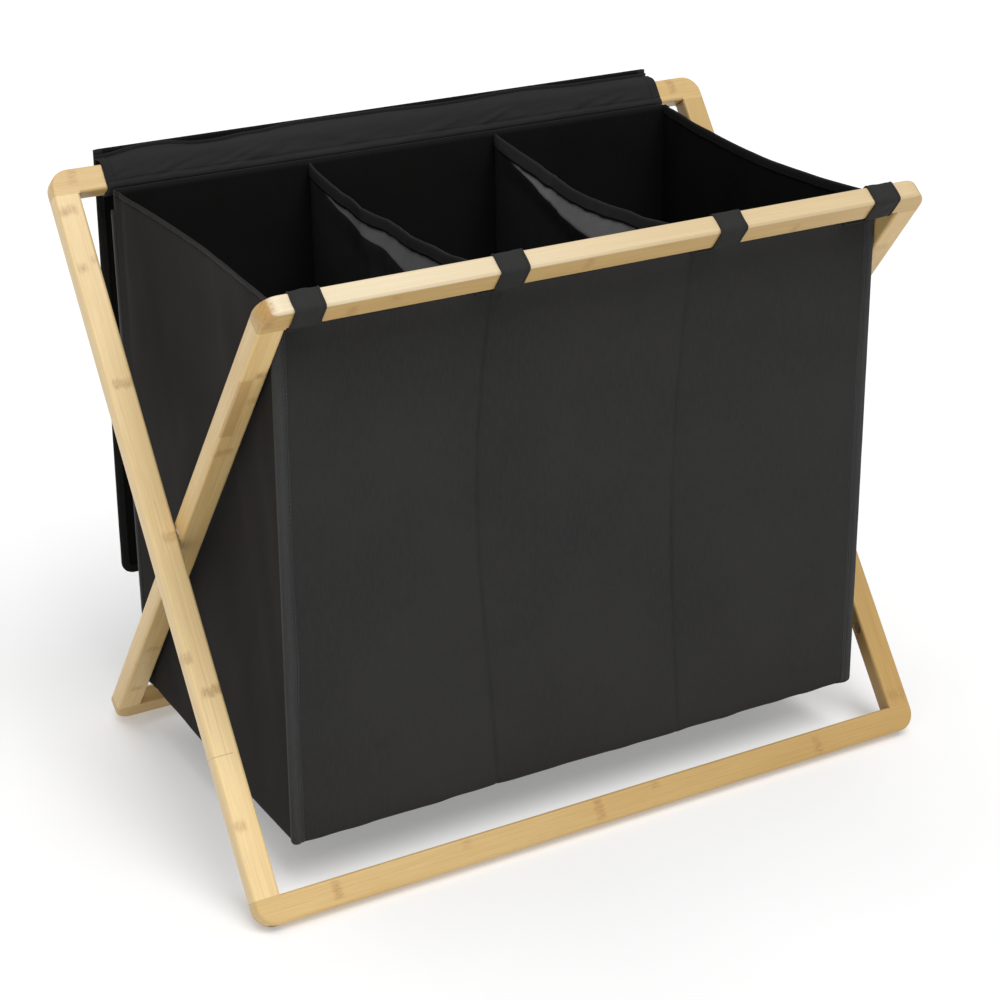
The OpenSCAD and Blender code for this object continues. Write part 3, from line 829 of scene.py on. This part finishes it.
def corner_binding(name, side, face_y, outward, top):
    """A bound seam that stands proud of one of the bag's upright edges."""
    section = even_path(rounded_path(BINDING, [0.7] * len(BINDING), 0.4), 44) * MM
    foot_z = BAG_Z + np.array([0.3, 0.8, 1.5, 2.4, 3.5, 4.8, 6.3, 8.2, 11]) * MM
    z = np.concatenate([foot_z, spaced(BAG_Z + 14.5 * MM, top, 4 * MM)])
    swell = 1 + 0.05 * ripple(z / 0.04, 3 * side, 204)
    if side < 0 and outward < 0:
        swell = swell + 0.16 * bell(z - BAG_Z - 0.182, 0.02)
    lean = 0.4 * MM * ripple(z / 0.05, side, 200)
    # At its foot the binding is turned under with the cloth.
    foot = 0.45 + 0.55 * np.sqrt(np.clip((z - BAG_Z) / (6 * MM), 0, 1))
    under = rolled_in(z) + (1 - foot) * 1.5 * MM
    rings = []
    for inwards, out in section:
        reach = np.where(inwards > 0, inwards * swell * foot + lean * (inwards > 2 * MM), inwards)
        rise = np.where(out > 0, out * (1 + 0.10 * ripple(z / 0.02, inwards / 0.004, 208)) * foot, out)
        rings.append(np.stack([side * (BAG_X - reach - under), face_y(z) + outward * (rise - under), z], -1))
    rings = np.stack(rings, 1)
    piece = turned_outward(tube(name, rings, EDGE_TAPE))
    # The stitches run up the inner fold, from above the foot.
    at = int(np.argmin(abs(section[:, 0] - 8.6 * MM) + (section[:, 1] < 0)))
    path = rings[len(foot_z):, at] + [0, outward * 0.05 * MM, 0]
    return [piece, stitches(name + "_stitches", [(path, (0, outward, 0))])]


def bag_trim():
    """Dividers, tapes and bindings, all sewn to the bag."""
    for side, name in SIDES:
        s = np.linspace(0, 1, 90)
        over, under = np.linspace(0, 1, 12)[:, None], np.linspace(0, 1, 74)[1:, None]
        fold, drop = divider_fold(s)[None, :], (divider_rim(s) - BAG_Z - 2 * MM)[None, :]
        points = divider_point(side, s[None, :], np.concatenate([over * fold, fold + under * (drop - fold)]))
        # Below its fold each divider is painted near black, as painted shade.
        sheet = cloth_grid(name + "_divider_cloth", points, LINING, LINING_PAINTED_SHADE)
        above = (len(over) - 1) * (len(s) - 1)
        for face in sheet.data.polygons:
            face.material_index = int(face.index >= above)
        thicken(sheet, 0.9 * MM)
        in_bag(sheet)
        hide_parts(name + "_divider")
        tape = folded_tape(name + "_divider_tape", lambda s, d, k=side: divider_point(k, s, d), 130,
                           (10.5 * MM, 10.5 * MM), 1.35 * MM, TAPE)
        for piece in tape:
            in_bag(piece)
        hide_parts("divider_bindings")

    trim = []
    for side, name in SIDES:
        widths = (3.2 * MM, 10 * MM) if side < 0 else (10 * MM, 3.2 * MM)
        rim = folded_tape(name + "_rim_tape", lambda s, d, k=side: side_point(k, s, d), 130,
                          widths, 1.15 * MM, TAPE)
        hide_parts("side_rim_bindings")
        front = corner_binding(f"front_{name}_binding", side, lambda z: FRONT_Y + 0 * z, -1, RIM_Z - 1 * MM)
        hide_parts("front_corner_bindings")
        back = corner_binding(f"back_{name}_binding", side, back_y, 1, RIM_Z - 20 * MM)
        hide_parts("back_corner_bindings")
        trim += rim + front + back
    x = np.linspace(-BAG_X + 0.012, BAG_X - 0.012, 200)
    hem_z = RIM_Z - RIM_HEM
    z = hem_z - front_rim_drop(x) * height_share(hem_z) ** 3
    hem = np.stack([x, FRONT_Y - front_relief(x, hem_z) - 0.2 * MM, z], -1)
    trim.append(stitches("bag_hem_stitches", [(hem, (0, -1, 0))]))
    for piece in trim:
        in_bag(piece)
    return trim


shell = bag_shell()
trim = bag_trim()


# ---- Cloth around the rails ----

SLEEVE_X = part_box("back_sleeve")[1].x
STRIP_LO, STRIP_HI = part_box("lid_seam_strip")
TOP_V, UNDER_V = 2 * HALF_L, 2 * HALF_L - RAIL_W
# The height of the sewn ridge behind the back rail, at chosen places across, in metres.
RIDGE = [(-0.3075, 0.5885), (-0.252, 0.5936), (-0.190, 0.5880), (-0.150, 0.5900), (-0.095, 0.5935),
         (-0.015, 0.5925), (0.070, 0.5905), (0.150, 0.5930), (0.230, 0.5900), (0.3075, 0.5895)]


def plane_yz(side, v, n):
    return on_frame(side, 0.0, v, n)[..., 1:]


def back_sleeve():
    """The slack tube of cloth around the back rail, drawn up into a ridge where it is sewn."""
    gap, hem_w = 0.7 * MM, 10 * MM
    under, face = UNDER_V - gap, RAIL_HALF_T + gap
    xs = spaced(-SLEEVE_X, SLEEVE_X, 4 * MM, (hem_w - SLEEVE_X, SLEEVE_X - hem_w), 3 * MM, 1 * MM)
    # q goes once round the rail, from the sleeve's lower front edge. The slack lies in front and on top.
    around = 84
    q = np.arange(around) / around
    slack = arch(q / 0.28) + 0.9 * arch((q - 0.28) / 0.16)
    # The lower hem, where the bag's back panel is sewn on.
    lower_hem = 0.5 * MM * bell(q - 0.035, 0.03) - 0.5 * MM * bell(q - 0.085, 0.008)
    rings = []
    for x in xs:
        ridge = float(through(np.array(x), RIDGE)) - 1.6 * MM
        corners = [plane_yz(1, under, face), plane_yz(1, TOP_V + gap, face), (STRIP_LO.y - 2.2 * MM, ridge),
                   plane_yz(1, TOP_V - 4 * MM, -face), plane_yz(1, under, -face)]
        path = even_path(rounded_path(corners, [3 * MM, 4.5 * MM, 1.6 * MM, 4 * MM, 3 * MM]), around)
        ends = fade((SLEEVE_X - abs(x)) / 0.02)
        folds = 0.5 + 0.9 * ripple((x + 0.12 * q) / 0.034, q * 5, 301)
        folds = folds + 0.5 * ripple((x - 0.3 * q) / 0.013, q * 7, 302)
        out = slack * np.maximum(folds, -0.15) * 1.25 * MM * (0.25 + 0.75 * ends) + lower_hem
        out = out - 0.45 * MM * bell(abs(x) - SLEEVE_X + hem_w, 1.0 * MM)
        out = out + 0.25 * MM * (abs(x) > SLEEVE_X - 9 * MM)
        path = path + outward_of(path) * out[:, None]
        rings.append(np.column_stack([np.full(around, x), path]))
    rings = np.array(rings)
    # The sleeve's inner faces are painted darker, as painted shade.
    sleeve = new_piece("back_sleeve_cloth", rings, grid_faces(len(xs), around, closed=True), SLEEVE, INSIDE_PAINTED_SHADE)
    thicken(turned_outward(sleeve), 1.0 * MM, inner=1)
    on_body(sleeve, "outer_frame")
    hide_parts("back_sleeve")
    out = unit(rings - rings.mean(1, keepdims=True))
    rows = [(rings[:, k] + out[:, k] * 0.6 * MM, out[:, k]) for k in (5, 9)]
    for x0 in (-SLEEVE_X + 8.5 * MM, -SLEEVE_X + 3 * MM, SLEEVE_X - 8.5 * MM, SLEEVE_X - 3 * MM):
        k = int(np.argmin(abs(xs - x0)))
        rows.append((rings[k, :40] + out[k, :40] * 0.6 * MM, out[k, :40]))
    sewn = stitches("back_sleeve_stitches", rows)
    on_body(sewn, "outer_frame")


LOOP_XS = (-0.292, -0.1035, 0.117, 0.285)
LOOP_W = 28 * MM
LOOP_COLUMNS = np.array([-1, -0.97, -0.92, -0.86, *np.linspace(-0.78, 0.78, 13), 0.86, 0.92, 0.97, 1])


def front_loops():
    """Four loops of doubled cloth around the front rail, each with a strap that carries the bag."""
    gap = 0.75 * MM
    low, high, out = UNDER_V - gap, TOP_V + gap, RAIL_HALF_T + gap
    corners = [plane_yz(-1, v, n) for v, n in ((low, out), (low, -out), (high, -out), (high, out))]
    path = even_path(rounded_path(corners, [3.6 * MM] * 4), 84)
    normal = outward_of(path)
    normal *= np.sign(((path - path.mean(0)) * normal).sum(1).mean())
    q = np.arange(len(path)) / len(path)
    seamless = np.minimum(fade(q / 0.05), fade((1 - q) / 0.05))
    for number, x0 in enumerate(LOOP_XS, 1):
        columns = []
        for u in LOOP_COLUMNS:
            hem = 0.35 * MM * (abs(u) > 0.9) - 0.35 * MM * bell(abs(u) - 0.86, 0.03)
            loose = 0.5 * MM * ripple(q * 8, u * 1.5, 320 + number) + 0.35 * MM * (1 - u * u)
            spot = path + normal * (hem + np.maximum(loose, -0.1 * MM) * seamless)[:, None]
            edge = 0.4 * MM * ripple(q * 8, u, 330 + number) * abs(u) * seamless
            columns.append(np.column_stack([x0 + u * LOOP_W / 2 + edge, spot]))
        points = np.array(columns)
        loop = new_piece(f"front_loop_{number}", points, grid_faces(*points.shape[:2], closed=True), BLACK)
        thicken(turned_outward(loop), 1.15 * MM, offset=0)
        flat_normal = np.column_stack([0 * q, normal])
        rows = [(points[k] + flat_normal * 0.62 * MM, flat_normal) for k in (3, -4)]
        sewn = stitches(f"front_loop_{number}_stitches", rows)
        for piece in (loop, sewn):
            on_body(piece, "inner_frame")
        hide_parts("front_loops")
        loop_strap(number, x0)


def loop_strap(number, x0):
    """From its loop a strap runs back to the rim and is sewn flat to the front panel."""
    arris = plane_yz(-1, UNDER_V, RAIL_HALF_T)
    start = (arris[0] + 1.5 * MM, RIM_Z + 0.2 * MM)
    rim = (FRONT_Y - 1.2 * MM, RIM_Z - 0.3 * MM)
    foot = (FRONT_Y - 1.2 * MM, RIM_Z - 26 * MM)
    path = even_path(rounded_path([start, rim, foot], [0, 4 * MM, 0], closed=False), 34, closed=False)
    columns = []
    for u in LOOP_COLUMNS:
        x = x0 + u * LOOP_W / 2
        y, z = path[:, 0].copy(), path[:, 1].copy()
        on_panel = fade((RIM_Z - 2 * MM - z) / 0.008)
        y -= on_panel * front_relief(x, z) + 0.3 * MM * ripple(u * 3, z / 0.01, 340 + number)
        z -= float(front_rim_drop(x)) * (0.3 + 0.7 * on_panel)
        columns.append(np.column_stack([np.full(len(y), x), y, z]))
    points = np.array(columns)
    strap = turned_outward(thicken(cloth_grid(f"front_loop_{number}_strap", points, BLACK), 1.1 * MM))
    # A box of stitches near the strap's foot, with a cross in it.
    k0, k1 = len(path) - 17, len(path) - 3
    box = [points[2:-2, k0], points[2:-2, k1], points[2, k0:k1], points[-3, k0:k1],
           np.array([points[2, k0], points[-3, k1]]), np.array([points[2, k1], points[-3, k0]])]
    rows = [(np.array(row) - [0, 0.65 * MM, 0], (0, -1, 0)) for row in box]
    sewn = stitches(f"front_loop_{number}_strap_stitches", rows)
    for piece in (strap, sewn):
        in_bag(piece)


# ---- Lid ----

LID_LO, LID_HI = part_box("lid_binding")
LID_TOP, LID_FOOT, LID_X = LID_HI.z, LID_LO.z, LID_HI.x
LID_Y = (LID_LO.y + LID_HI.y) / 2
LID_R = 14 * MM
LID_TAPE = 9 * MM


def lid_y(x, z):
    """The hanging flap's middle layer: flat at its seam, with soft upright folds lower down."""
    depth = LID_TOP - z
    folds = 2.6 * MM * ripple(x / 0.105, depth / 0.5, 401) + 1.4 * MM * ripple(x / 0.05, depth / 0.2, 402)
    creases = 0.5 * MM * crumple(x / 0.04, depth / 0.05, 403)
    return LID_Y + fade((depth - 0.03) / 0.2) * folds + fade((depth - 0.02) / 0.05) * creases


def lid_half(z):
    """Half the flap's width at a height, less at the rounded lower corners."""
    reach = np.clip(LID_R - (z - LID_FOOT), 0, LID_R)
    return LID_X - (LID_R - np.sqrt(LID_R ** 2 - reach ** 2))


def seam_strip():
    """The doubled hem behind the back rail that the flap hangs from."""
    xs = np.linspace(-SLEEVE_X, SLEEVE_X, 180)
    top = through(xs, RIDGE) + 1.2 * MM
    share = np.array([0, 0.08, 0.2, 0.35, 0.5, 0.62, 0.74, 0.84, 0.92, 0.97, 1])
    z = STRIP_LO.z + share[:, None] * (top - STRIP_LO.z)[None, :]
    middle = (STRIP_LO.y + STRIP_HI.y) / 2
    y = middle + 0.25 * MM * ripple(xs[None, :] / 0.02, share[:, None] * 2, 411) + 0 * z
    points = np.stack([np.broadcast_to(xs, z.shape), y, z], -1)
    strip = turned_outward(thicken(cloth_grid("lid_seam_cloth", points, BLACK), 1.1 * MM))
    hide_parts("lid_seam_strip")
    rows = [(points[-4] + [0, out * 0.6 * MM, 0], (0, out, 0)) for out in (-1, 1)]
    sewn = stitches("lid_seam_stitches", rows)
    for piece in (strip, sewn):
        on_body(piece, "lid_seam")


def lid():
    """The flap that hangs behind the sorter, bound on its free sides, and closes over the bag."""
    inset = 3 * MM
    z = np.concatenate([LID_TOP - np.array([0, 3, 6, 10]) * MM,
                        spaced(LID_FOOT + 0.02, LID_TOP - 0.014, 7 * MM)[::-1],
                        LID_FOOT + np.array([17, 14, 11.5, 9, 7, 5.2, 3.8, inset / MM]) * MM])
    half = np.minimum(lid_half(z), LID_X - inset)
    x = np.linspace(-1, 1, 96)[None, :] * half[:, None]
    z = z[:, None] + 0 * x
    points = np.stack([x, lid_y(x, z), z], -1)
    # The flap's inner layer is painted darker, as painted shade.
    flap = thicken(cloth_grid("lid_cloth", points, BLACK, INSIDE_PAINTED_SHADE), 1.0 * MM, inner=1)
    on_body(flap, "lid")
    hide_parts("lid_panel")

    # The binding's middle line, down one side, along the bottom and up the other.
    side = np.linspace(LID_TOP - 0.5 * MM, LID_FOOT + LID_R, 110)
    angle = np.linspace(0, math.pi / 2, 10)[1:-1]
    bottom = np.linspace(-LID_X + LID_R, LID_X - LID_R, 150)
    # Each of its points is x, z and the direction into the flap.
    line = [(-LID_X, s, 1, 0) for s in side]
    for ix, iz in zip(np.cos(angle), np.sin(angle)):
        line.append((-LID_X + LID_R * (1 - ix), LID_FOOT + LID_R * (1 - iz), ix, iz))
    other_side = [(-x, z, -ix, iz) for x, z, ix, iz in line[::-1]]
    line += [(b, LID_FOOT, 0, 1) for b in bottom]
    line = np.array(line + other_side)
    xz, inward = line[:, :2], line[:, 2:]

    def on_tape(reach, lift):
        """The binding's line moved inwards by a share of the tape, and off the flap's middle layer."""
        x, z = (xz + inward * (reach * LID_TAPE)).T
        return np.stack([x, lid_y(x, z) + lift * 1.05 * MM, z], -1)

    upper = [(0.0, 0.0), (0.05, 0.75), (0.2, 1.0), (0.5, 1.08), (0.8, 1.0), (1.0, 0.95), (1.0, 0.55),
             (0.45, 0.55)]
    section = upper + [(reach, -lift) for reach, lift in upper[:0:-1]]
    rings = [on_tape(reach, lift) for reach, lift in section]
    tape = turned_outward(tube("lid_tape", np.stack(rings, 1), TAPE))
    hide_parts("lid_binding")
    sewn = stitches("lid_tape_stitches", [(on_tape(0.8, out), (0, out, 0)) for out in (-1, 1)])
    for piece in (tape, sewn):
        on_body(piece, "lid")


back_sleeve()
front_loops()
seam_strip()
lid()


# ---- Floor, light and camera ----

def stage_floor():
    """A broad pale floor under the object."""
    half = 60.0
    points = [(-half, -half, 0), (half, -half, 0), (half, half, 0), (-half, half, 0)]
    g = Graph("floor")
    colour = g.mix(g.step(g.noise(g.place(), 2.0, 2.0), 0.3, 0.7), grey(0.66), grey(0.69))
    glow = dict(Emission_Color=(1, 1, 1, 1), Emission_Strength=0.28)
    floor = new_piece("floor", points, [(0, 1, 2, 3)], g.finish(Base_Color=colour, Roughness=0.85, **glow))
    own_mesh(floor)


def soft_sun(name, towards, strength, spread):
    """A broad light from far away. towards points from the object to the light."""
    data = bpy.data.lights.new(name, "SUN")
    data.energy = strength
    data.angle = math.radians(spread)
    lamp = bpy.data.objects.new(name, data)
    bpy.context.scene.collection.objects.link(lamp)
    x, y, z = towards
    lamp.rotation_euler = (math.atan2(math.hypot(x, y), z), 0, math.atan2(x, -y))


def studio():
    world = bpy.data.worlds.new("studio")
    bpy.context.scene.world = world
    world.use_nodes = True
    background = world.node_tree.nodes["Background"]
    background.inputs["Color"].default_value = (1, 1, 1, 1)
    background.inputs["Strength"].default_value = 0.42
    soft_sun("key", (0.10, -0.62, 1.15), 1.9, 38)
    soft_sun("top", (-0.15, 0.25, 1.0), 0.75, 50)


def camera():
    data = bpy.data.cameras.new("camera")
    data.sensor_width = 36.0
    data.lens = 87.8
    data.shift_x = -0.033
    data.shift_y = -0.12
    data.dof.use_dof = False
    obj = bpy.data.objects.new("camera", data)
    bpy.context.scene.collection.objects.link(obj)
    obj.location = (-1.0514, -1.9036, 1.2406)
    obj.rotation_euler = (math.radians(90 - 21.617), 0, math.radians(-29.848))
    bpy.context.scene.camera = obj


stage_floor()
studio()
camera()
bpy.context.scene.view_settings.view_transform = "Standard"
